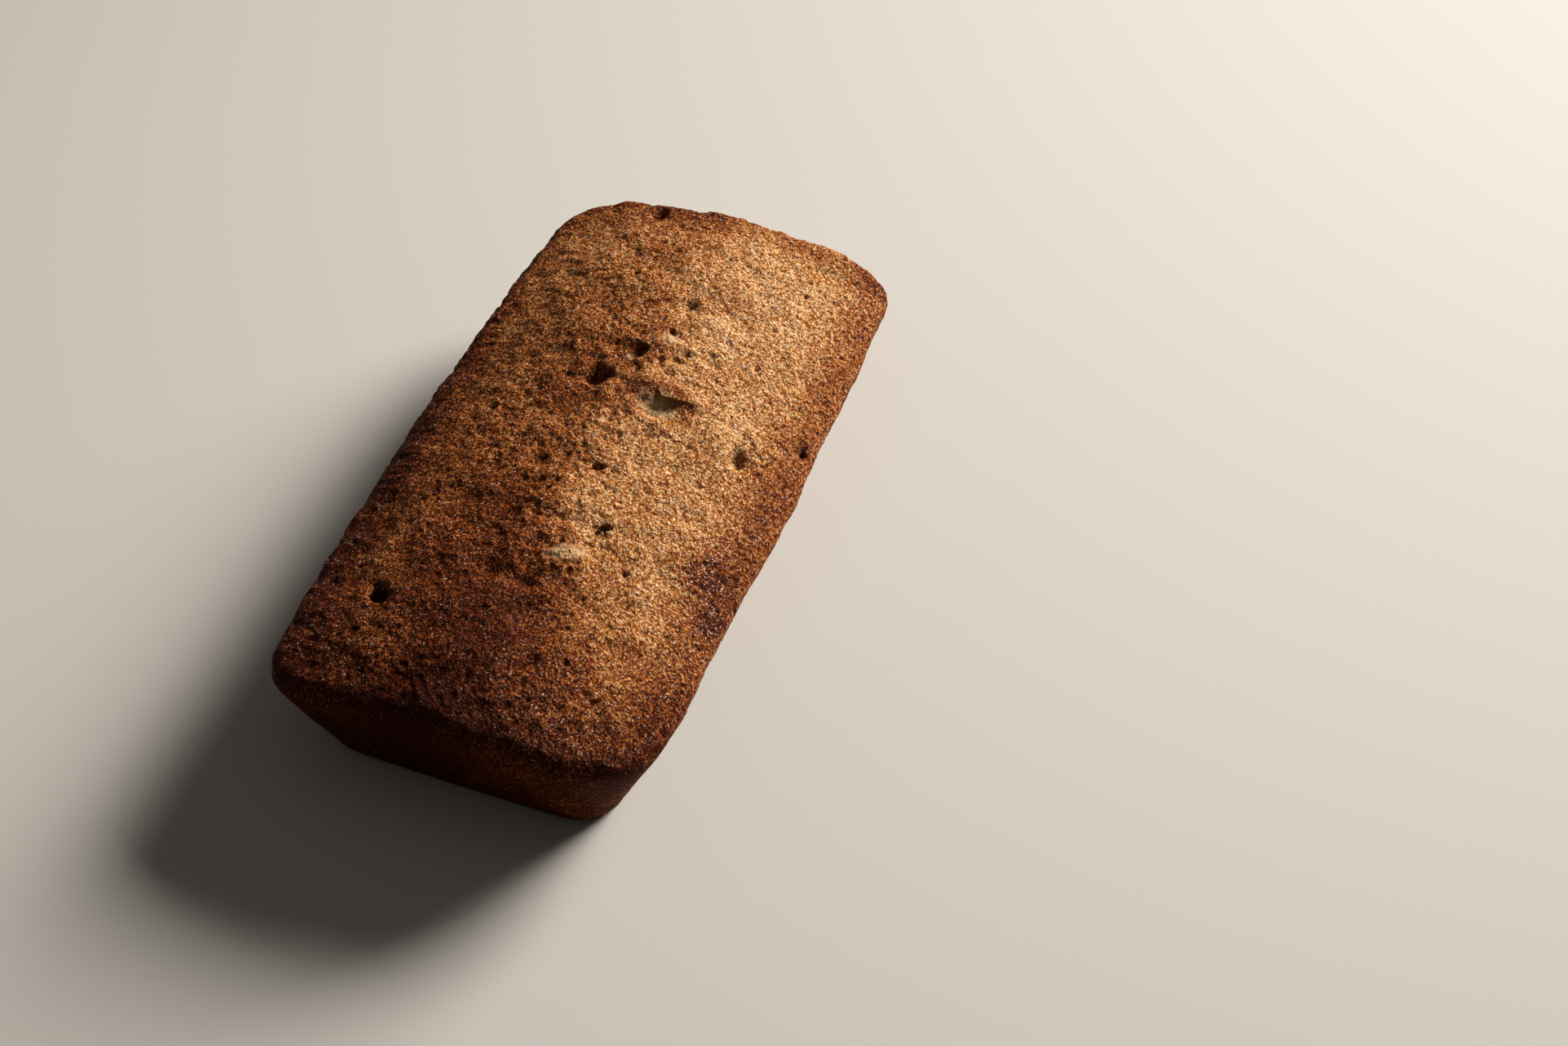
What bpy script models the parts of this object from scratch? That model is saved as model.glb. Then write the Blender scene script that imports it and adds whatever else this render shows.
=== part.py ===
# Financier: a small almond cake baked in a shallow bar tin and lying baked side up.
# The sides slant in towards the flat underside, as the tin shaped them, and the top has
# risen into a long crown with a bumpy crust, a few burst bubbles and one sunken crater.
# Metres, +Z up. The length runs along X and the underside is at Z = 0.

import math

import bmesh
import bpy
from mathutils import Vector, noise

# Overall size, measured over the finished crust
LENGTH = 0.0850
WIDTH = 0.0442
HEIGHT = 0.0195

# The loaf before its crust is roughened
EDGE_HEIGHT = 0.0130      # top of the rounded edge, along the long sides
CROWN = 0.0062            # how far the middle rises over that edge
END_SHARE = 0.55          # share of the crown that is left at the two ends
SIDE_SLANT = 0.0044       # how far each side leans in between the rim and the underside
SHOULDER = 0.0023         # radius of the rounded top edge
FOOT = 0.0011             # radius of the rounded bottom edge
BULGE_LONG = 0.0011       # how far the long sides swell outwards at mid-length
BULGE_END = 0.0008        # the same for the ends
FOOT_CORNER = 0.0036      # corner radius at the underside, in plan
FAR_PINCH = 0.0011        # how far the left side draws in towards the far end
CORNERS = {(-1, -1): 0.0090, (-1, 1): 0.0054, (1, -1): 0.0042, (1, 1): 0.0088}  # at the rim, in plan

# The tilt of the rounded edge where it meets the crown, and where it meets the slanted side
SHOULDER_START = math.radians(22)
SIDE_LEAN = math.atan2(SIDE_SLANT, EDGE_HEIGHT - SHOULDER)

# Mesh density
CELLS_LONG = 68
CELLS_WIDE = 34
SHOULDER_RINGS = 5
SIDE_RINGS = 5
FOOT_RINGS = 3

# Relief of the crust. Each pit or hollow: place, half-length, half-width, turn, depth.
PITS = {
    "bubble_left": (-0.0287, 0.0127, 0.0015, 0.0010, 42, 0.0021),
    "bubble_middle": (-0.0052, -0.0023, 0.0009, 0.0008, 0, 0.0015),
    "bubble_slot": (-0.0134, -0.0060, 0.0007, 0.0010, 15, 0.0015),
    "bubble_right": (0.0040, -0.0151, 0.0014, 0.0008, 8, 0.0015),
    "bubble_far": (0.0229, -0.0022, 0.0009, 0.0011, 0, 0.0012),
    "bubble_end": (0.0390, 0.0083, 0.0012, 0.0011, 0, 0.0009),
    "bubble_furrow": (-0.0232, -0.0024, 0.0009, 0.0009, 0, 0.0011),
    "bubble_edge": (0.0098, -0.0205, 0.0008, 0.0007, 0, 0.0008),
    "furrow": (-0.0229, 0.0006, 0.0009, 0.0040, -4, 0.0005),
    "hollow": (0.0083, 0.0034, 0.0014, 0.0015, 0, 0.0014),
    "hollow_far_arm": (0.0103, 0.0045, 0.0015, 0.0006, 24, 0.0008),
    "hollow_left_arm": (0.0078, 0.0056, 0.0007, 0.0014, 8, 0.0007),
    "crater": (0.0062, -0.0046, 0.0019, 0.0024, -8, 0.0010),
    "crater_wall": (0.0083, -0.0054, 0.0009, 0.0028, -10, 0.0009),
    "lipped_hollow": (0.0129, 0.0004, 0.0011, 0.0007, -35, 0.0008),
    "pale_hollow": (0.0169, -0.0020, 0.0011, 0.0012, 0, 0.0009),
    "dimple_far": (0.0112, 0.0092, 0.0009, 0.0015, 35, 0.0006),
    "dimple_left": (-0.0104, 0.0099, 0.0009, 0.0008, 0, 0.0007),
    "dimple_middle": (-0.0065, 0.0042, 0.0010, 0.0009, 0, 0.0006),
    "dimple_near": (-0.0327, -0.0070, 0.0009, 0.0010, 0, 0.0006),
}
# Each swelling: place, half-length, half-width, turn, height.
SWELLINGS = {
    "crater_rim": (0.0103, -0.0050, 0.0013, 0.0044, -10, 0.0009),
    "crater_near_lip": (0.0034, -0.0052, 0.0011, 0.0030, -6, 0.0004),
    "burst_ridge": (-0.0092, -0.0002, 0.0066, 0.0028, -8, 0.0008),
    "burst_ridge_near": (-0.0186, -0.0045, 0.0030, 0.0032, -10, 0.0007),
    "lump_middle": (0.0010, 0.0016, 0.0040, 0.0045, 0, 0.0004),
    "lump_far": (0.0150, -0.0005, 0.0034, 0.0046, 0, 0.0009),
    "lump_left": (0.0040, 0.0080, 0.0050, 0.0030, 0, 0.0004),
    "lump_near": (-0.0318, -0.0030, 0.0060, 0.0080, 0, 0.0004),
}


def clear_scene():
    for item in list(bpy.data.objects):
        bpy.data.objects.remove(item, do_unlink=True)


def mix(low, high, share):
    return low + (high - low) * share


def smooth(low, high, value):
    share = min(max((value - low) / (high - low), 0.0), 1.0)
    return share * share * (3 - 2 * share)


def corner_radius(u, v):
    """Plan radius at the rim, blended between the four corners; u and v run from -1 to 1."""
    far = smooth(-1, 1, u)
    left = smooth(-1, 1, v)
    near = mix(CORNERS[-1, -1], CORNERS[-1, 1], left)
    away = mix(CORNERS[1, -1], CORNERS[1, 1], left)
    return mix(near, away, far)


def rounded_plan(u, v, half_x, half_y, radius):
    """Point of a filled rounded rectangle; u and v run from -1 to 1, the last part round a corner."""
    core = 0.84
    out = []
    for share, half in ((u, half_x), (v, half_y)):
        size = abs(share)
        straight = min(size / core, 1.0) * (half - radius)
        beyond = max((size - core) / (1 - core), 0.0) * radius
        out.append((math.copysign(1, share), straight, beyond))
    (sx, cx, qx), (sy, cy, qy) = out
    reach = math.hypot(qx, qy)
    shrink = max(qx, qy) / reach if reach > 0 else 1.0
    return sx * (cx + qx * shrink), sy * (cy + qy * shrink)


def barrel(x, y):
    """Swells the straight sides outwards, most at their middles, and draws in the far left."""
    px = min(abs(x) / (LENGTH / 2), 1.0)
    py = min(abs(y) / (WIDTH / 2), 1.0)
    pinch = FAR_PINCH * smooth(0.0, LENGTH / 2, x) * smooth(0.0, WIDTH / 2, y)
    x += math.copysign(BULGE_END * px ** 3 * (1 - py ** 2), x)
    y += math.copysign(BULGE_LONG * py ** 3 * (1 - px ** 2), y) - pinch
    return x, y


def crown_height(x, y):
    px = min(abs(x) / (LENGTH / 2), 1.0)
    py = min(abs(y) / (WIDTH / 2), 1.0)
    along = END_SHARE + (1 - END_SHARE) * (1 - px ** 4)
    return EDGE_HEIGHT + CROWN * along * (1 - py ** 2)


def ring_profile():
    """One entry a ring, from the crown's border down to the underside: how far it lies in from
    the rim, how far up the side it is, what lifts it above that, how much of the foot's corner
    it takes and what the corner loses."""
    rings = []
    for step in range(SHOULDER_RINGS + 1):
        turn = mix(SHOULDER_START, math.pi / 2 + SIDE_LEAN, step / SHOULDER_RINGS)
        inset = SHOULDER * (1 - math.sin(turn))
        rings.append((inset, 1.0, SHOULDER * math.cos(turn), 0.0, inset))
    inset, _, lift, _, _ = rings[-1]
    foot_lift = FOOT * (1 - math.sin(SIDE_LEAN))
    for step in range(1, SIDE_RINGS + 1):
        down = step / SIDE_RINGS
        rings.append((mix(inset, SIDE_SLANT, down), 1 - down, mix(lift, foot_lift, down), down, inset * (1 - down)))
    for step in range(1, FOOT_RINGS + 1):
        turn = mix(SIDE_LEAN, math.pi / 2, step / FOOT_RINGS)
        inward = FOOT * (math.cos(SIDE_LEAN) - math.cos(turn))
        rings.append((SIDE_SLANT + inward, 0.0, FOOT * (1 - math.sin(turn)), 1.0, inward))
    return rings


def plan_point(u, v, inset, radius):
    half_x = LENGTH / 2 - BULGE_END - inset
    half_y = WIDTH / 2 - BULGE_LONG - inset
    return barrel(*rounded_plan(u, v, half_x, half_y, radius))


def loaf_point(u, v, ring, rings):
    """The smooth loaf. Ring 0 is the whole crown; the others go round the edge and down the side."""
    inset, up, lift, foot_share, cut = rings[ring]
    rim = corner_radius(u, v)
    x, y = plan_point(u, v, inset, mix(rim, FOOT_CORNER + FOOT, foot_share) - cut)
    if ring == 0:
        return Vector((x, y, crown_height(x, y)))
    # The height of the side follows the crown above it, so the ends are arched.
    border, _, drop, _, _ = rings[0]
    edge = crown_height(*plan_point(u, v, border, rim - border)) - drop
    return Vector((x, y, edge * up + lift))


def spot(x, y, feature):
    """Distance from a feature's middle, 1 at its rim."""
    fx, fy, half_x, half_y, turn, _ = feature
    c, s = math.cos(math.radians(turn)), math.sin(math.radians(turn))
    dx, dy = x - fx, y - fy
    return math.hypot((dx * c + dy * s) / half_x, (dy * c - dx * s) / half_y)


def crust_relief(point):
    """How far the crust stands out from the smooth loaf at this point."""
    x, y, z = point
    top = smooth(0.0085, 0.0125, z)
    side = smooth(0.0012, 0.0040, z)
    swell = noise.fractal(point * 85 + Vector((3.1, 0.4, 1.7)), 1.0, 2.0, 2)
    pebble = noise.noise(point * 300 + Vector((7.0, 2.0, 5.0)))
    knob = noise.noise(point * 640 + Vector((1.0, 9.0, 4.0)))
    out = swell * mix(0.00018, 0.00042, top) * side
    out += (pebble * 0.00022 + knob * 0.00012) * top + (pebble * 0.00009 + knob * 0.00004) * side * (1 - top)
    for feature in SWELLINGS.values():
        out += feature[-1] * math.exp(-1.6 * spot(x, y, feature) ** 2) * top
    for feature in PITS.values():
        away = spot(x, y, feature)
        out -= feature[-1] * math.exp(-(away ** 3.2) * 1.1) * top
        out += 0.10 * feature[-1] * math.exp(-((away - 1.5) / 0.35) ** 2) * top
    return out


def make_mesh():
    bm = bmesh.new()
    bmesh.ops.create_grid(bm, x_segments=CELLS_LONG, y_segments=CELLS_WIDE, size=1.0)
    ring_of = {vert: 0 for vert in bm.verts}
    rings = ring_profile()

    # The rim of the grid is drawn down ring by ring, then closed underneath.
    edges = [edge for edge in bm.edges if edge.is_boundary]
    for ring in range(1, len(rings)):
        drawn = bmesh.ops.extrude_edge_only(bm, edges=edges)["geom"]
        for vert in (item for item in drawn if isinstance(item, bmesh.types.BMVert)):
            ring_of[vert] = ring
        edges = [item for item in drawn if isinstance(item, bmesh.types.BMEdge) and item.is_boundary]
    bmesh.ops.holes_fill(bm, edges=edges, sides=0)

    for vert, ring in ring_of.items():
        vert.co = loaf_point(vert.co.x, vert.co.y, ring, rings)

    # Finer faces where the burst bubbles are
    fine = set()
    for face in bm.faces:
        middle = face.calc_center_median()
        if middle.z < 0.012:
            continue
        for feature in PITS.values():
            if spot(middle.x, middle.y, feature) < 1.0 + 0.0007 / min(feature[2], feature[3]):
                fine.update(face.edges)
    bmesh.ops.subdivide_edges(bm, edges=list(fine), cuts=1, use_grid_fill=True, smooth=0.0)

    bmesh.ops.recalc_face_normals(bm, faces=bm.faces)
    bm.normal_update()
    moves = {vert: vert.normal * crust_relief(vert.co) for vert in bm.verts if vert.co.z > 0.0008}
    for vert, move in moves.items():
        vert.co += move
    fit_to_size(bm)
    mesh = bpy.data.meshes.new("cake")
    bm.to_mesh(mesh)
    bm.free()
    return mesh


def fit_to_size(bm):
    """Brings the roughened loaf to its overall size, centred over the origin."""
    low = [min(vert.co[axis] for vert in bm.verts) for axis in range(3)]
    high = [max(vert.co[axis] for vert in bm.verts) for axis in range(3)]
    sizes = (LENGTH, WIDTH, HEIGHT)
    for vert in bm.verts:
        for axis in range(3):
            share = (vert.co[axis] - low[axis]) / (high[axis] - low[axis])
            vert.co[axis] = (share if axis == 2 else share - 0.5) * sizes[axis]


def crust_material():
    material = bpy.data.materials.new("baked_crust")
    material.use_nodes = True
    shader = material.node_tree.nodes["Principled BSDF"]
    shader.inputs["Base Color"].default_value = (0.42, 0.19, 0.07, 1.0)
    shader.inputs["Roughness"].default_value = 0.55
    shader.inputs["Metallic"].default_value = 0.0
    return material


def main():
    clear_scene()
    mesh = make_mesh()
    cake = bpy.data.objects.new("cake", mesh)
    bpy.context.scene.collection.objects.link(cake)
    cake.data.materials.append(crust_material())
    mesh.shade_smooth()
    mesh.set_sharp_from_angle(angle=math.radians(50))


main()
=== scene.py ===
import math

import bpy
import numpy as np
from mathutils import Matrix, Vector, noise


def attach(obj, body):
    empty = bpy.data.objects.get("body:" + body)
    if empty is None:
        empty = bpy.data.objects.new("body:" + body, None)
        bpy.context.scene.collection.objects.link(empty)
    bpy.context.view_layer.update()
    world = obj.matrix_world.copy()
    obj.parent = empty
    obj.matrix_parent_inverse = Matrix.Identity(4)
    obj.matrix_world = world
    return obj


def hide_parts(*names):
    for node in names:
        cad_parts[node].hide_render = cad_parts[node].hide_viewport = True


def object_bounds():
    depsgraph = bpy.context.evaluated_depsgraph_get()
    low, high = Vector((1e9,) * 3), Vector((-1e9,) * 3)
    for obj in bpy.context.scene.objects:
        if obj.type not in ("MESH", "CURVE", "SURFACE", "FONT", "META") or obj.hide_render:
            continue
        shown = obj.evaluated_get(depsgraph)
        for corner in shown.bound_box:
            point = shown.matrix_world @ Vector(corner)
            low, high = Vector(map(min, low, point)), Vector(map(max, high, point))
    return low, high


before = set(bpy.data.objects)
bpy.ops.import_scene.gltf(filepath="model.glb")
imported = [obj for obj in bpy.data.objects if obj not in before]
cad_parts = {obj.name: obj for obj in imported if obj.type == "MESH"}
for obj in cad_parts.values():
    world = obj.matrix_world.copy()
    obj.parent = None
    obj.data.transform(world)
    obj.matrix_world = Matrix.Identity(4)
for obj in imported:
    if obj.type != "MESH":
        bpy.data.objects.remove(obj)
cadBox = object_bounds()
mm = 0.001


def deselectAll():
    for item in bpy.context.selected_objects:
        item.select_set(False)


def makeActive(piece):
    deselectAll()
    piece.select_set(True)
    bpy.context.view_layer.objects.active = piece


def linear(hexColour):
    # sRGB hex to the linear values that shaders and lights use
    out = []
    for at in (1, 3, 5):
        value = int(hexColour[at:at + 2], 16) / 255
        out.append(value / 12.92 if value <= 0.04045 else ((value + 0.055) / 1.055) ** 2.4)
    return (*out, 1.0)


def addNode(tree, kind, inputs=None, **settings):
    # one node with its settings; an input is a number, a colour, a node or one of a node's outputs
    node = tree.nodes.new(kind)
    for name, value in settings.items():
        setattr(node, name, value)
    for socket, value in (inputs or {}).items():
        if isinstance(value, bpy.types.Node):
            value = value.outputs[0]
        if isinstance(value, bpy.types.NodeSocket):
            tree.links.new(value, node.inputs[socket])
        else:
            node.inputs[socket].default_value = value
    return node


def smooth(low, high, values):
    share = np.clip((values - low) / (high - low), 0, 1)
    return share * share * (3 - 2 * share)


def noiseAt(points, size, octaves, shift):
    # about -1 to 1; its largest lumps are this size apart, and the shift picks a part of the pattern
    move = Vector(shift)
    return np.array([noise.fractal(Vector(point) / size + move, 1.0, 2.0, octaves) for point in points])


# The crust is the whole outer surface of the cake.
# Places and spans over the top are in mm, turns in degrees.
crustSpec = {
    "levels": 1,  # subdivision
    "cuts": 2, "fineAbove": 10.0 * mm, "fineOver": (0.45 * mm) ** 2,  # wide faces that are cut again
    "topAbove": 12.2 * mm, "topWithin": 19.4 * mm,  # the top piece, as against the sides
    # where holes open, and what baked clear of the tin: from and to which height, and facing how far up
    "holesAbove": (9.0, 12.5), "holesFacing": (-0.1, 0.35),
    "crownAbove": (8.5, 12.0), "crownFacing": (-0.30, 0.12),
    "flatUpTo": (0.15, 1.0),  # the relief starts above the underside
    # relief: size, height and the share of it on the sides
    "lumpSize": 3.2 * mm, "lumpHeight": 0.24 * mm, "lumpOnSides": 0.35,
    "pebbleSize": 1.4 * mm, "pebbleHeight": 0.13 * mm, "pebbleOnSides": 0.4,
    "grainSize": 0.70 * mm, "grainHeight": 0.07 * mm, "grainOnSides": 0.4, "grainAbove": (8.0, 11.5),
    "grainGain": 0.8, "roughGain": 0.7,
    # rougher places: x, y, half-length, half-width
    "roughPlaces": [(-10, 0, 12, 6), (12, 0, 8, 7)],
    # burst bubbles: x, y, half-length, half-width, turn, extra depth
    "bubbles": [
        (-28.7, 12.7, 1.12, 0.85, 42, 2.0), (-5.1, -2.3, 0.74, 0.52, -70, 0.75),
        (-13.1, -6.1, 0.72, 0.42, -68, 1.9), (4.0, -15.1, 0.80, 0.42, 8, 0.3),
        (22.9, -2.2, 0.45, 0.60, 0, 0.3), (39.0, 8.3, 0.90, 0.80, 0, 0.15),
        (-23.2, -2.5, 0.60, 0.38, -70, 0.15), (9.8, -20.5, 0.45, 0.40, 0, 0.3),
        (8.4, 3.5, 1.50, 0.55, -72, 0.35), (12.9, 0.4, 0.60, 0.30, -35, 0.2),
        (17.6, -1.9, 0.30, 0.45, 0, 0.4), (-19.5, -5.1, 1.20, 0.30, -65, 0.2),
    ],
    # how a feature fades towards its rim: the power, where more is steeper, and the rate
    "bubbleFade": (4, 0.9), "fillFade": (3.2, 1.1), "poreFade": (3, 0.8),
    "lipHeight": 0.05, "lipAt": 1.45, "lipWidth": 0.3,  # place and width in half-widths of the bubble
    # a bubble's bottom is drawn darker the deeper it goes: painted shade
    "holeShade": 0.2, "holeDarkPerDepth": 0.5,  # how dark a bubble's bottom is
    # so that no hole is round: share, size, octaves, part of the pattern
    "wobbles": [(0.22, 0.8 * mm, 2, (8, 2, 0)), (0.12, 2.0 * mm, 1, (1, 2, 7))],
    # broad dents filled part way, or deepened where minus: x, y, half-length, half-width, turn, height
    "fills": [
        (-28.7, 12.7, 1.50, 1.00, 42, 1.1), (-5.2, -2.3, 0.90, 0.80, 0, 0.9),
        (-13.4, -6.0, 0.70, 1.00, 15, 1.35), (22.9, -2.2, 0.90, 1.10, 0, 0.5),
        (-23.2, -2.4, 0.90, 0.90, 0, 0.75), (10.3, 4.5, 1.50, 0.60, 24, 0.5),
        (7.8, 5.6, 0.70, 1.40, 8, 0.45), (8.3, -5.4, 0.90, 2.80, -10, 0.85),
        (6.2, -4.6, 1.90, 2.40, -8, 0.25), (16.9, -2.0, 1.10, 1.20, 0, 0.5),
        (-10.4, 9.9, 0.90, 0.80, 0, 0.4), (-32.7, -7.0, 0.90, 1.00, 0, 0.3),
        (10.3, -5.0, 1.30, 4.40, -10, -0.35), (8.0, -4.9, 1.10, 2.20, -10, 0.60),
        (15.0, -0.5, 3.40, 4.60, 0, -0.30),
    ],
    # pores: x, y, radius
    "pores": [
        (-6.8, 1.6, 0.34), (-6.4, -0.1, 0.28), (-5.0, -3.9, 0.20), (-6.0, 3.9, 0.27),
        (-4.3, 0.5, 0.28), (-12.6, -3.8, 0.16), (-13.0, -4.7, 0.14), (-14.5, -5.4, 0.20),
        (-16.7, -2.9, 0.28), (-9.2, 0.8, 0.24), (-17.4, -10.5, 0.31), (-33.8, -13.7, 0.32),
        (-33.2, -12.6, 0.26), (-36.5, -7.8, 0.26), (-23.0, -14.9, 0.22), (-22.2, -17.1, 0.34),
        (-31.0, -9.6, 0.32), (-8.2, -11.0, 0.20), (-10.6, 1.2, 0.34), (3.0, -0.6, 0.34),
        (-22.7, -7.9, 0.26), (-27.0, -8.0, 0.26), (-2.0, -12.9, 0.20), (14.8, -4.7, 0.34),
        (1.1, 13.0, 0.44), (-25.0, 16.6, 0.30), (-12.2, 12.0, 0.28), (31.5, -13.0, 0.28),
        (17.5, -12.2, 0.24), (26.0, 6.0, 0.28),
    ],
    "poreDepth": 1.5, "poreReach": 2.2, "poreStrength": 0.8,  # depth and reach in radii
    "strayPores": 56, "straySeed": 88, "strayRadius": 0.18, "strayGrowth": 0.16, "strayStrength": 0.4,
    "strayReach": (41, 21),
}


def copyCadMesh(node, name):
    # the CAD mesh is loose triangles, so the copy is merged and its quads are brought back
    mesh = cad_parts[node].data.copy()
    mesh.name = name
    piece = bpy.data.objects.new(name, mesh)
    bpy.context.scene.collection.objects.link(piece)
    makeActive(piece)
    bpy.ops.object.mode_set(mode="EDIT")
    bpy.ops.mesh.select_all(action="SELECT")
    bpy.ops.mesh.remove_doubles(threshold=0.002 * mm)
    bpy.ops.mesh.tris_convert_to_quads(face_threshold=math.radians(60), shape_threshold=math.radians(60))
    bpy.ops.object.mode_set(mode="OBJECT")
    selectFaces(piece, lambda face: face.normal.z < -0.999 and face.center.z < 0.02 * mm)
    bpy.ops.mesh.dissolve_faces()  # the flat underside becomes one face
    bpy.ops.object.mode_set(mode="OBJECT")
    return piece


def selectFaces(piece, chosen):
    # leaves the piece in edit mode with only the chosen faces selected
    makeActive(piece)
    bpy.ops.object.mode_set(mode="EDIT")
    bpy.ops.mesh.select_all(action="DESELECT")
    bpy.ops.object.mode_set(mode="OBJECT")
    for face in piece.data.polygons:
        face.select = chosen(face)
    bpy.ops.object.mode_set(mode="EDIT")


def refineMesh(piece):
    makeActive(piece)
    modifier = piece.modifiers.new("smoothing", "SUBSURF")
    modifier.levels = modifier.render_levels = crustSpec["levels"]
    bpy.ops.object.modifier_apply(modifier=modifier.name)
    # then the wide faces above the straight part of the sides; those around the bubbles are small already
    selectFaces(piece, lambda face: face.center.z > crustSpec["fineAbove"]
                and face.area > crustSpec["fineOver"])
    bpy.ops.mesh.subdivide(number_cuts=crustSpec["cuts"])
    bpy.ops.object.mode_set(mode="OBJECT")


def readVectors(mesh, field):
    out = np.zeros(len(mesh.vertices) * 3, np.float32)
    mesh.vertices.foreach_get(field, out)
    return out.reshape(-1, 3).astype(float)


def away(points, x, y, halfX, halfY, turn):
    # distance from a feature's middle, 1 at its rim
    c, s = math.cos(math.radians(turn)), math.sin(math.radians(turn))
    dx, dy = points[:, 0] / mm - x, points[:, 1] / mm - y
    return np.hypot((dx * c + dy * s) / halfX, (dy * c - dx * s) / halfY)


def fade(span, power, rate=1):
    # 1 in a feature's middle, 0 outside it
    return np.exp(-span ** power * rate)


def blob(x, y, midX, midY, halfX, halfY):
    # a soft-edged spot, 1 at its middle
    return np.exp(-((x - midX) / halfX) ** 2 - ((y - midY) / halfY) ** 2)


def roughen(points, x, y, z, top):
    # lumps, pebbly swellings and grains; the flat underside stays flat
    spec = crustSpec
    lump = noiseAt(points, spec["lumpSize"], 2, (3, 1, 4))
    pebble = noiseAt(points, spec["pebbleSize"], 2, (1, 5, 9))
    grain = noiseAt(points, spec["grainSize"], 1, (2, 6, 5))
    rough = 1 + spec["roughGain"] * sum(blob(x, y, *place) for place in spec["roughPlaces"])
    lumpShare = spec["lumpOnSides"] + (1 - spec["lumpOnSides"]) * top
    pebbleShare = spec["pebbleOnSides"] + (1 - spec["pebbleOnSides"]) * top
    grainShare = spec["grainOnSides"] + spec["grainGain"] * smooth(*spec["grainAbove"], z)
    out = lump * spec["lumpHeight"] * lumpShare * rough
    out += (1 - 2 * np.abs(pebble)) * spec["pebbleHeight"] * pebbleShare * rough
    out += grain * spec["grainHeight"] * grainShare
    return out * smooth(*spec["flatUpTo"], z)


def openHoles(points, x, y, top, wobble, out):
    # fills, bubbles and pores, added to the offset; the result says how deep in a hole each point is, and the
    # colour is darkened there as painted shade
    spec = crustSpec
    hole = np.zeros(len(x))
    for fx, fy, halfX, halfY, turn, height in spec["fills"]:
        out += height * mm * fade(away(points, fx, fy, halfX, halfY, turn), *spec["fillFade"]) * top
    for bx, by, halfX, halfY, turn, depth in spec["bubbles"]:
        near = away(points, bx, by, halfX, halfY, turn) * wobble
        dip = fade(near, *spec["bubbleFade"])
        out -= depth * mm * dip * top
        out += spec["lipHeight"] * mm * fade((near - spec["lipAt"]) / spec["lipWidth"], 2) * top
        hole = np.maximum(hole, dip * min(spec["holeShade"] + depth * spec["holeDarkPerDepth"], 1.0) * top)

    dice = np.random.default_rng(spec["straySeed"])
    allPores = [(*pore, spec["poreStrength"]) for pore in spec["pores"]]
    reachX, reachY = spec["strayReach"]
    for _ in range(spec["strayPores"]):
        radius = spec["strayRadius"] + spec["strayGrowth"] * dice.random() ** 2
        place = dice.uniform(-reachX, reachX), dice.uniform(-reachY, reachY)
        allPores.append((*place, radius, spec["strayStrength"]))
    for px, py, radius, strength in allPores:
        span = np.hypot(x - px, y - py)
        within = span < radius * spec["poreReach"]
        dip = strength * fade(span[within] * wobble[within] / radius, *spec["poreFade"]) * top[within]
        out[within] -= radius * spec["poreDepth"] * mm * dip
        hole[within] = np.maximum(hole[within], dip)
    return hole


# How far the crust is browned, 0 to 1, by place, with painted shade and sheen in some parts; the parts are
# added up.
browningAndShade = {
    "base": 0.16, "patches": 0.09,
    # how much, and from where to where it comes in
    # the shaded side is darkened partly by real baking and partly as painted shade; the paler stretch eases
    # that shade
    "shadedSide": (0.23, -5.5, 6.5), "nearCornerShade": (0.25, 5, 25), "farSideSheen": (-0.05, 4, 26),
    "longEdges": (0.24, 15.5, 21.5), "windowEdge": (0.06, 12, 19), "ends": (0.24, 34.5, 41.5),
    "shadeWander": 1.5, "edgeWander": 0.6, "endWander": 0.8,  # so that no edge is straight
    # a paler stretch of the shaded side: how much, then its start and end along x and its start along y
    "palerStretch": (0.30, (8, 20), (36, 28), (6, 12)),
    "nearCornerAtEdge": 0.40, "nearCornerFull": (12, 3),  # less of it along the shaded edge
    # the crater's far lip, darker: partly browner crust, partly painted shade on the wall that faces away
    # from the light
    "craterLipShade": (0.30, 4.5, 7.5), "craterLipWidth": 0.30, "crater": (6.2, -4.6, 2.7, 3.5, -8),
    # the ridge and the hollows in the middle and by the crater are drawn darker, and the last zone is a
    # painted shadow that the ridge casts over the near end:
    # x, y, half-length, half-width, how much
    "zones": [
        (-9, 1.5, 9, 3.5, 0.06), (15, -0.5, 5, 3, 0.24), (7, 5.5, 6, 4, 0.14), (-31, -1.5, 9, 6.5, 0.24),
    ],
    "sides": 0.56, "sidePatches": 0.14,  # where the crust lay against the tin
    "scorchFade": 2, "crumbFade": 4,
    # dark, faintly purple patches: x, y, half-length, half-width, turn, strength
    "scorches": [
        (-13.0, -17.6, 3.4, 2.4, 10, 1.5), (-17.5, -20.0, 4.0, 1.5, 0, 0.9), (-22.5, -19.2, 3.0, 1.5, 0, 0.4),
        (-29.0, -19.5, 5.0, 1.3, 0, 0.25), (-3.0, -20.0, 6.0, 1.0, 0, 0.35), (-36.0, 16.5, 6.0, 4.0, 0, 0.6),
        (-24.0, 19.0, 9.0, 2.0, 0, 0.5), (-6.0, 19.5, 10.0, 1.6, 0, 0.35), (14.5, -4.4, 0.8, 0.6, 0, 0.7),
        (-38.0, -12.0, 2.0, 6.0, 0, 0.35),
    ],
    # torn places where the pale crumb shows
    "crumbs": [
        (6.3, -4.4, 1.4, 2.1, -14, 1.0), (16.2, -2.2, 0.9, 1.0, 0, 0.8), (-18.1, -4.3, 2.0, 1.1, -70, 0.65),
        (12.2, 1.0, 0.9, 0.4, -30, 0.6), (1.3, 0.0, 0.5, 0.4, 0, 0.4),
    ],
}


def comingIn(part, span):
    share, start, full = browningAndShade[part]
    return share * smooth(start, full, span)


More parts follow.
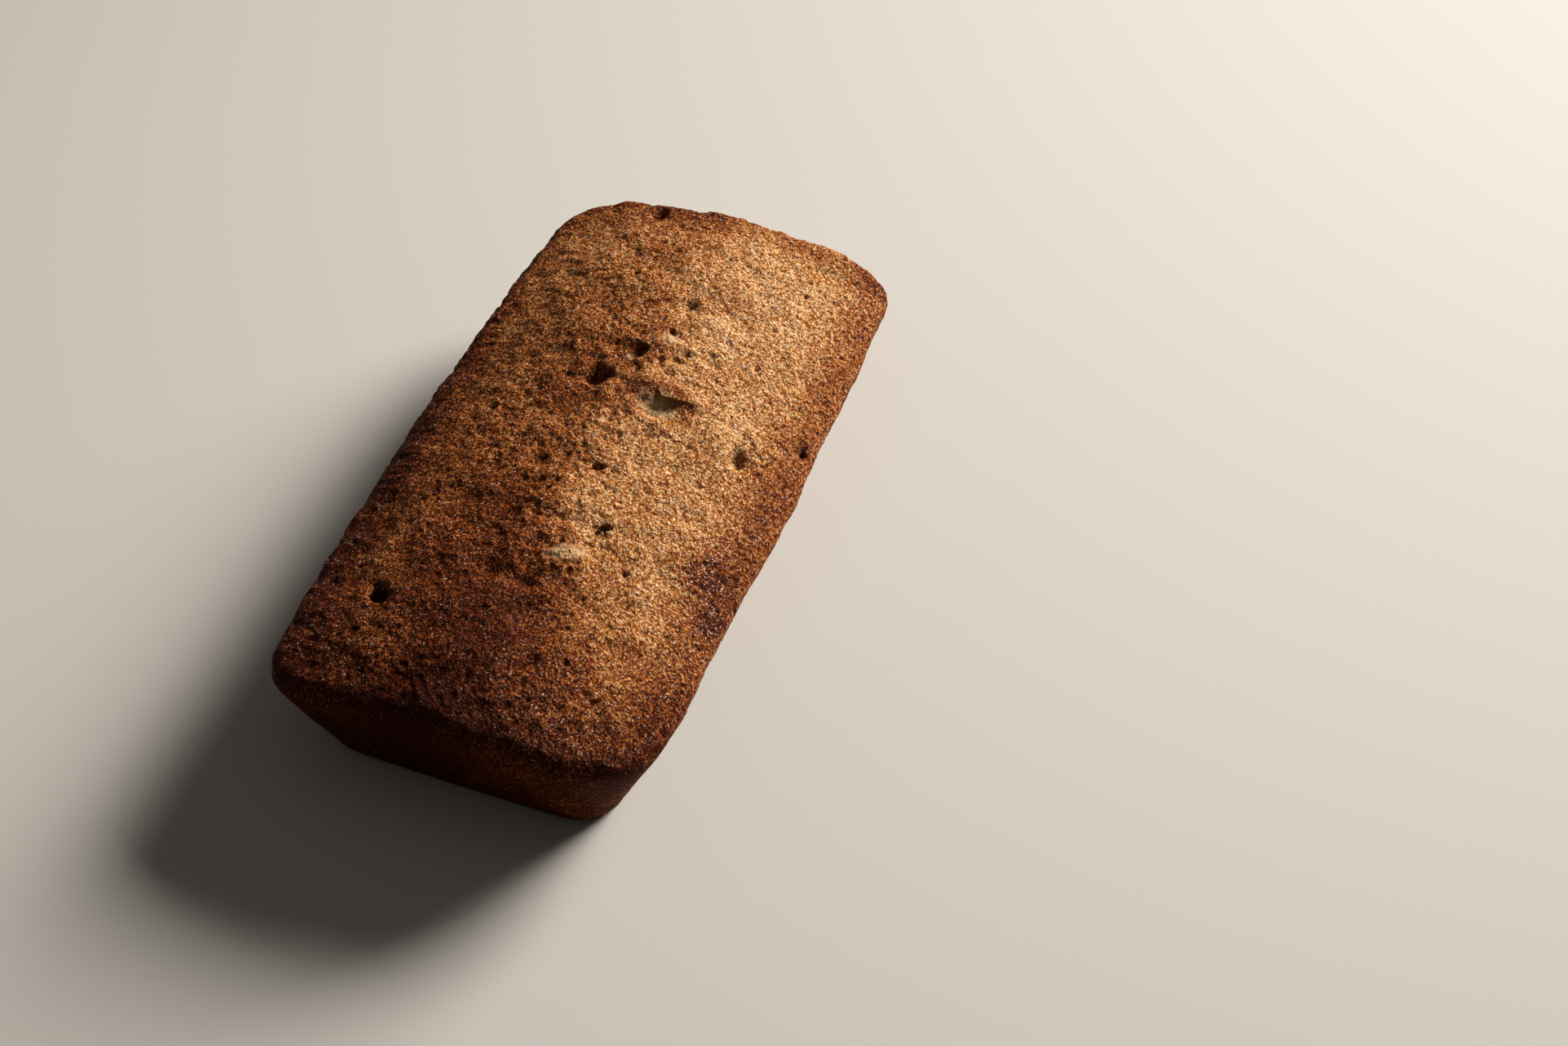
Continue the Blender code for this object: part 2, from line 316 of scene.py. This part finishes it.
def brownAndShadeAt(points, x, y, crown):
    shade = y + browningAndShade["shadeWander"] * noiseAt(points, 9 * mm, 2, (2, 9, 1))
    edge = np.abs(y) + browningAndShade["edgeWander"] * noiseAt(points, 6 * mm, 2, (4, 4, 1))
    end = np.abs(x) + browningAndShade["endWander"] * noiseAt(points, 6 * mm, 2, (7, 1, 1))
    paler, startX, endX, startY = browningAndShade["palerStretch"]
    paler = 1 - paler * smooth(*startX, x) * smooth(*endX, x) * smooth(*startY, y)
    atEdge = browningAndShade["nearCornerAtEdge"]
    cornerShare = atEdge + (1 - atEdge) * smooth(*browningAndShade["nearCornerFull"], y)
    craterRimShade = fade((away(points, *browningAndShade["crater"]) - 1.0) / browningAndShade["craterLipWidth"], 2)

    # painted shade on the side away from the light, over real browning
    brownAndShade = browningAndShade["base"] + comingIn("shadedSide", shade) * paler
    # painted shade on the crater's far wall, over a browner lip
    brownAndShade += comingIn("craterLipShade", x - 0.3 * y - 1.4) * craterRimShade
    brownAndShade += comingIn("longEdges", edge)
    brownAndShade += comingIn("ends", end)
    brownAndShade += comingIn("windowEdge", -y)
    brownAndShade += browningAndShade["patches"] * noiseAt(points, 5 * mm, 3, (5, 5, 5))
    # the near corner is darker: partly browner crust, partly painted shade where the light falls off
    brownAndShade += comingIn("nearCornerShade", 0.8 * y - x) * cornerShare
    # the far side is paler: partly the crust's own colour, partly painted sheen where it faces the light
    brownAndShade += comingIn("farSideSheen", x - 0.6 * y)
    # the last zone is a painted shadow cast by the ridge
    for *place, share in browningAndShade["zones"]:
        brownAndShade += share * blob(x, y, *place)
    tinSide = browningAndShade["sides"] + browningAndShade["sidePatches"] * noiseAt(points, 7 * mm, 3, (6, 0, 3))
    return np.maximum(brownAndShade, (1 - crown) * tinSide)


def scorchedAt(points):
    scorched = np.zeros(len(points))
    for *place, strength in browningAndShade["scorches"]:
        scorched = np.maximum(scorched, strength * fade(away(points, *place), browningAndShade["scorchFade"]))
    return scorched * np.clip(0.7 + 1.1 * noiseAt(points, 1.5 * mm, 3, (9, 9, 2)), 0, 1.3)


def paleAt(points, wobble):
    pale = np.zeros(len(points))
    for *place, strength in browningAndShade["crumbs"]:
        pale = np.maximum(pale, strength * fade(away(points, *place) * wobble, browningAndShade["crumbFade"]))
    return pale


def splitTop(piece):
    # the baked top and the sides become two pieces that keep the whole crust's shading across their seam
    def key(vertex):
        return tuple(round(value, 7) for value in vertex.co)

    normals = {key(vertex): vertex.normal.copy() for vertex in piece.data.vertices}
    selectFaces(piece, lambda face: face.center.z > crustSpec["topAbove"]
                and abs(face.center.y) < crustSpec["topWithin"])
    bpy.ops.mesh.separate(type="SELECTED")
    bpy.ops.object.mode_set(mode="OBJECT")
    top = next(item for item in bpy.context.selected_objects if item != piece)
    top.name, piece.name = "crust_top", "crust_sides"
    for part in (top, piece):
        part.data.name = part.name
        kept = [normals[key(vertex)] for vertex in part.data.vertices]
        part.data.normals_split_custom_set_from_vertices(kept)
        print(part.name + ":", sum(len(face.vertices) - 2 for face in part.data.polygons), "triangles")
    return [top, piece]


def shapeCrust():
    piece = copyCadMesh("cake", "crust")
    refineMesh(piece)
    print("crust: copied from the CAD solid and refined")
    mesh = piece.data
    points, normals = readVectors(mesh, "co"), readVectors(mesh, "normal")
    x, y, z = points.T / mm
    spec = crustSpec
    top = smooth(*spec["holesAbove"], z) * smooth(*spec["holesFacing"], normals[:, 2])
    crown = smooth(*spec["crownAbove"], z) * smooth(*spec["crownFacing"], normals[:, 2])
    wobble = np.ones(len(points))
    for amount, size, octaves, shift in spec["wobbles"]:
        wobble += amount * noiseAt(points, size, octaves, shift)
    out = roughen(points, x, y, z, top)
    hole = openHoles(points, x, y, top, wobble, out)
    points += normals * out[:, None]
    points = np.clip(points, np.array(cadBox[0]), np.array(cadBox[1]))
    mesh.vertices.foreach_set("co", points.astype(np.float32).ravel())
    layers = {
        "brownAndShade": brownAndShadeAt(points, x, y, crown),
        "scorched": scorchedAt(points),
        "pale": paleAt(points, wobble) * top,
        "hole": hole,
        "crown": crown,
    }
    for name, values in layers.items():
        layer = mesh.attributes.new(name=name, type="FLOAT", domain="POINT")
        layer.data.foreach_set("value", np.clip(values, 0, 1).astype(np.float32))
    mesh.shade_smooth()
    mesh.update()
    print("crust: lumps, holes and browning in place")
    return splitTop(piece)


# Baked almond batter, risen and browned in a buttered tin: matt, open and grainy, with sugar that came to
# the surface in small crystals, each with its own glint. The crystals' pale colour is partly painted glint.
crustLook = {
    # from the least to the most browned
    "straw": "#E0BA93", "golden": "#C69861", "amber": "#985B27", "brown": "#6C310C", "dark": "#3A1203",
    # the hole colour is partly the crumb's own reddish brown and partly painted shade
    # the sugar colour stands partly for real crystals and partly for painted glints
    "sugar": "#EED2BC", "scorch": "#3C1007", "crumb": "#CDB084", "hole": "#54260F",
    # the finest almond meal is about 0.1 mm, and its grain is drawn at 0.2 to 0.3 mm so that it shows
    "crumbAcross": 0.48 * mm, "crumbRelief": 0.50 * mm,
    "grainAcross": 0.28 * mm, "grainRelief": 0.19 * mm,
    "speckAcross": 0.19 * mm, "speckRelief": 0.12 * mm, "glintRelief": 0.30 * mm,
    "crystalAcross": 0.22 * mm, "patchAcross": 3.2 * mm, "poreAcross": 2.2 * mm, "nudge": 0.5 * mm,
    # how much each adds to the tone along the colour ramp, from least to most brown; the low and gap parts
    # are painted shade in the crumb's hollows
    "patchTone": 0.18, "grainTone": 0.28, "evenTone": -0.31, "lowShadeTone": 0.32, "gapShadeTone": 0.38,
    "scorchTone": 0.30,
    "sugarGlintShare": 0.75, "sugarShareDark": 0.3, "poreShadeShare": 0.55, "holeShadeShare": 0.75,
    "roughness": 0.60, "dullRoughness": 0.35, "ior": 1.45, "specular": 0.02,
    "sugarGloss": 0.35, "sugarRoughness": 0.26,
    "glow": 0.10, "glowColour": (1.0, 0.45, 0.2), "glowDepth": 0.5 * mm,  # light that sinks into the crumb
}


def makeCrustMaterial():
    look = crustLook
    material = bpy.data.materials.new("baked_almond_crust")
    material.use_nodes = True
    tree = material.node_tree
    shader = tree.nodes["Principled BSDF"]
    place = addNode(tree, "ShaderNodeTexCoord").outputs["Object"]
    brownAndShade, scorched, pale, hole, crown = (
        addNode(tree, "ShaderNodeAttribute", attribute_name=name).outputs["Fac"]
        for name in ("brownAndShade", "scorched", "pale", "hole", "crown"))

    openCrumb = addNode(tree, "ShaderNodeTexNoise", {
        "Vector": place, "Scale": 1 / look["crumbAcross"], "Detail": 5.0, "Roughness": 0.62})
    specks = addNode(tree, "ShaderNodeTexNoise", {
        "Vector": place, "Scale": 1 / look["speckAcross"], "Detail": 2.0, "Roughness": 0.5})
    patches = addNode(tree, "ShaderNodeTexNoise", {
        "Vector": place, "Scale": 1 / look["patchAcross"], "Detail": 4.0, "Roughness": 0.6})
    # grains, crystals and pores are cells pushed about by noise, so that no two are alike and none is round
    push = addNode(tree, "ShaderNodeTexNoise", {"Vector": place, "Scale": 1 / look["nudge"], "Detail": 3.0})
    nudged = addNode(tree, "ShaderNodeVectorMath", {
        0: push.outputs["Color"], 1: (look["nudge"],) * 3, 2: place}, operation="MULTIPLY_ADD")
    grains = addNode(tree, "ShaderNodeTexVoronoi", {
        "Vector": nudged, "Scale": 1 / look["grainAcross"], "Smoothness": 0.4}, feature="SMOOTH_F1")
    crystals = addNode(tree, "ShaderNodeTexVoronoi", {"Vector": nudged, "Scale": 1 / look["crystalAcross"]})
    pores = addNode(tree, "ShaderNodeTexVoronoi", {"Vector": nudged, "Scale": 1 / look["poreAcross"]})
    grainKind = addNode(tree, "ShaderNodeSeparateColor", {"Color": grains.outputs["Color"]})
    crystalKind = addNode(tree, "ShaderNodeSeparateColor", {"Color": crystals.outputs["Color"]})
    poreKind = addNode(tree, "ShaderNodeSeparateColor", {"Color": pores.outputs["Color"]})
    gap = addNode(tree, "ShaderNodeMapRange", {
        "Value": grains.outputs["Distance"], "From Min": 0.22, "From Max": 0.72})
    pore = addNode(tree, "ShaderNodeMath", {0: poreKind.outputs["Green"], 1: 0.10}, operation="MULTIPLY")
    pore = addNode(tree, "ShaderNodeMath", {0: pores.outputs["Distance"], 1: pore}, operation="SUBTRACT")
    pore = addNode(tree, "ShaderNodeMapRange", {
        "Value": pore, "From Min": 0.01, "From Max": 0.07, "To Min": 1.0, "To Max": 0.0})

    # how brown each spot is, with painted shade in the low spots of the crumb and in the gaps between grains
    grainShade = addNode(tree, "ShaderNodeMath", {
        0: grainKind, 1: look["grainTone"], 2: look["evenTone"]}, operation="MULTIPLY_ADD")
    lowCrumbShade = addNode(tree, "ShaderNodeMapRange", {"Value": openCrumb, "From Min": 0.65, "From Max": 0.33})
    tone = addNode(tree, "ShaderNodeMath", {
        0: patches, 1: look["patchTone"], 2: brownAndShade}, operation="MULTIPLY_ADD")
    tone = addNode(tree, "ShaderNodeMath", {0: tone, 1: grainShade}, operation="ADD")
    for part, share in ((lowCrumbShade, look["lowShadeTone"]), (scorched, look["scorchTone"]), (gap, look["gapShadeTone"])):
        tone = addNode(tree, "ShaderNodeMath", {0: part, 1: share, 2: tone}, operation="MULTIPLY_ADD")
    tone.use_clamp = True
    ramp = addNode(tree, "ShaderNodeValToRGB", {"Fac": tone})
    stops = ramp.color_ramp.elements
    stops[0].position, stops[0].color = 0.06, linear(look["straw"])
    stops[1].position, stops[1].color = 1.0, linear(look["dark"])
    for position, name in ((0.26, "golden"), (0.52, "amber"), (0.76, "brown")):
        stops.new(position).color = linear(look[name])
    scorchOpen = addNode(tree, "ShaderNodeMapRange", {
        "Value": openCrumb, "From Min": 0.58, "From Max": 0.42, "To Min": 0.05, "To Max": 0.6})
    scorchShare = addNode(tree, "ShaderNodeMath", {
        0: scorched, 1: scorchOpen}, operation="MULTIPLY", use_clamp=True)

    # a pale crystal here and there, fewer where the crust is darker but many on the scorched patch; these
    # pale specks are partly sugar and partly painted glints
    chosen = addNode(tree, "ShaderNodeMath", {0: scorched, 1: 0.16, 2: crystalKind}, operation="MULTIPLY_ADD")
    chosen = addNode(tree, "ShaderNodeMath", {0: brownAndShade, 1: -0.38, 2: chosen}, operation="MULTIPLY_ADD")
    sparkle = addNode(tree, "ShaderNodeMapRange", {"Value": chosen, "From Min": 0.54, "From Max": 0.64})
    crystalBody = addNode(tree, "ShaderNodeMapRange", {
        "Value": crystals.outputs["Distance"], "From Min": 0.55, "From Max": 0.25})
    raised = addNode(tree, "ShaderNodeMapRange", {"Value": gap, "From Min": 0.9, "From Max": 0.3})
    for limit in (crystalBody, raised, crown):
        sparkle = addNode(tree, "ShaderNodeMath", {0: sparkle, 1: limit}, operation="MULTIPLY")
    syrup = addNode(tree, "ShaderNodeMath", {0: scorched, 1: -0.5, 2: brownAndShade}, operation="MULTIPLY_ADD")
    sugarLeft = addNode(tree, "ShaderNodeMapRange", {
        "Value": syrup, "From Min": 0.1, "From Max": 0.7,
        "To Min": look["sugarGlintShare"], "To Max": look["sugarShareDark"]})
    sugarGlintShare = addNode(tree, "ShaderNodeMath", {0: sparkle, 1: sugarLeft}, operation="MULTIPLY")

    # torn crumb, and the bottoms of holes and pores, darkened as painted shade over the hole's own reddish
    # brown
    crumbOpen = addNode(tree, "ShaderNodeMapRange", {
        "Value": openCrumb, "From Min": 0.40, "From Max": 0.56, "To Min": 0.25, "To Max": 1.0})
    crumbShare = addNode(tree, "ShaderNodeMath", {0: pale, 1: crumbOpen}, operation="MULTIPLY")
    poreShade = addNode(tree, "ShaderNodeMath", {0: pore, 1: look["poreShadeShare"]}, operation="MULTIPLY")
    poreShade = addNode(tree, "ShaderNodeMath", {0: poreShade, 1: crown}, operation="MULTIPLY")
    holeShade = addNode(tree, "ShaderNodeMath", {0: hole, 1: look["holeShadeShare"]}, operation="MULTIPLY")
    dark = addNode(tree, "ShaderNodeMath", {0: holeShade, 1: poreShade}, operation="MAXIMUM")

    colour = ramp.outputs["Color"]
    layers = {"scorch": scorchShare, "sugar": sugarGlintShare, "crumb": crumbShare, "hole": dark}
    for name, share in layers.items():
        colour = addNode(tree, "ShaderNodeMix", {
            0: share, 6: colour, 7: linear(look[name])}, data_type="RGBA").outputs[2]
    tree.links.new(colour, shader.inputs["Base Color"])

    # the gaps and torn places are duller still, and only the crystals shine
    low = addNode(tree, "ShaderNodeMapRange", {"Value": openCrumb, "From Min": 0.62, "From Max": 0.36})
    low = addNode(tree, "ShaderNodeMath", {0: gap, 1: low}, operation="MULTIPLY")
    low = addNode(tree, "ShaderNodeMath", {0: low, 1: 0.8}, operation="MULTIPLY")
    torn = addNode(tree, "ShaderNodeMath", {0: dark, 1: pale}, operation="MAXIMUM")
    dull = addNode(tree, "ShaderNodeMath", {0: low, 1: torn}, operation="MAXIMUM")
    rough = addNode(tree, "ShaderNodeMath", {
        0: dull, 1: look["dullRoughness"], 2: look["roughness"]}, operation="MULTIPLY_ADD", use_clamp=True)
    shine = addNode(tree, "ShaderNodeMapRange", {
        "Value": sparkle, "To Min": 0.05, "To Max": look["sugarGloss"]})
    tree.links.new(rough.outputs[0], shader.inputs["Roughness"])
    tree.links.new(shine.outputs[0], shader.inputs["Coat Weight"])
    shader.inputs["Coat Roughness"].default_value = look["sugarRoughness"]
    shader.inputs["IOR"].default_value = look["ior"]
    shader.inputs["Specular IOR Level"].default_value = look["specular"]
    shader.inputs["Subsurface Weight"].default_value = look["glow"]
    shader.inputs["Subsurface Radius"].default_value = look["glowColour"]
    shader.inputs["Subsurface Scale"].default_value = look["glowDepth"]

    # relief too fine for the mesh: open crumb, then grains and pores, then specks
    normal = addNode(tree, "ShaderNodeBump", {"Height": openCrumb, "Distance": look["crumbRelief"]})
    sunk = addNode(tree, "ShaderNodeMath", {0: grains.outputs["Distance"], 1: pore}, operation="MAXIMUM")
    raisedGrain = addNode(tree, "ShaderNodeMath", {0: 1.0, 1: sunk}, operation="SUBTRACT")
    normal = addNode(tree, "ShaderNodeBump", {
        "Height": raisedGrain, "Distance": look["grainRelief"], "Normal": normal})
    for socket, relief in (("Normal", "speckRelief"), ("Coat Normal", "glintRelief")):
        fine = addNode(tree, "ShaderNodeBump", {"Height": specks, "Distance": look[relief], "Normal": normal})
        tree.links.new(fine.outputs["Normal"], shader.inputs[socket])
    return material


crust = shapeCrust()
crustMaterial = makeCrustMaterial()
for piece in crust:
    piece.data.materials.clear()
    piece.data.materials.append(crustMaterial)
    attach(piece, "root")
    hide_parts("cake")
print("crust: material and fittings done")

# Pale, matt card: paper fibres give it no gloss.
floorSpec = {"size": 4.0, "below": 0.02 * mm, "colour": "#B6B2AB", "roughness": 0.85}


def makeFloor():
    deselectAll()
    bpy.ops.mesh.primitive_plane_add(size=floorSpec["size"], location=(0, 0, -floorSpec["below"]))
    floor = bpy.context.object
    floor.name = "studio_floor"
    material = bpy.data.materials.new("pale_card")
    material.use_nodes = True
    shader = material.node_tree.nodes["Principled BSDF"]
    shader.inputs["Base Color"].default_value = linear(floorSpec["colour"])
    shader.inputs["Roughness"].default_value = floorSpec["roughness"]
    floor.data.materials.append(material)


lightSpec = {
    # name: place, size, watts, colour, spread in degrees
    "window": ((0.65, -0.36, 0.335), 0.39, 2.9, "#FFFAF4", 60),
    "soft_fill": ((-0.25, 0.40, 0.45), 0.60, 0.14, "#FFEEDC", 180),
    "top_bounce": ((0.0, 0.0, 0.80), 0.80, 0.25, "#FFF8F0", 180),
}
roomSpec = {"colour": "#F4EFEA", "strength": 0.05}  # the faint light from all round


def makeLights():
    for name, (location, size, watts, colour, beam) in lightSpec.items():
        data = bpy.data.lights.new(name, "AREA")
        data.size = size
        data.energy = watts
        data.spread = math.radians(beam)
        data.color = linear(colour)[:3]
        light = bpy.data.objects.new(name, data)
        light.location = location
        light.rotation_euler = (-Vector(location)).to_track_quat("-Z", "Y").to_euler()
        bpy.context.scene.collection.objects.link(light)
    world = bpy.data.worlds.new("studio")
    bpy.context.scene.world = world
    world.use_nodes = True
    background = world.node_tree.nodes["Background"]
    background.inputs["Color"].default_value = linear(roomSpec["colour"])
    background.inputs["Strength"].default_value = roomSpec["strength"]


cameraSpec = {
    "lens": 65.16, "sensor": 36.0, "clipStart": 0.005,
    "location": (-0.2018, -0.0897, 0.2374),
    # rows of the camera's turn
    "turn": ((0.34651, 0.67494, -0.65145), (-0.93761, 0.27032, -0.21865), (0.02852, 0.68657, 0.72650)),
}


def makeCamera():
    data = bpy.data.cameras.new("camera")
    data.sensor_fit = "HORIZONTAL"
    data.sensor_width = cameraSpec["sensor"]
    data.lens = cameraSpec["lens"]
    data.clip_start = cameraSpec["clipStart"]
    camera = bpy.data.objects.new("camera", data)
    bpy.context.scene.collection.objects.link(camera)
    turn = Matrix(cameraSpec["turn"]).to_4x4()
    camera.matrix_world = Matrix.Translation(cameraSpec["location"]) @ turn
    bpy.context.scene.camera = camera


makeFloor()
makeLights()
makeCamera()
bpy.context.scene.view_settings.view_transform = "Standard"
print("studio: floor, lights and camera")
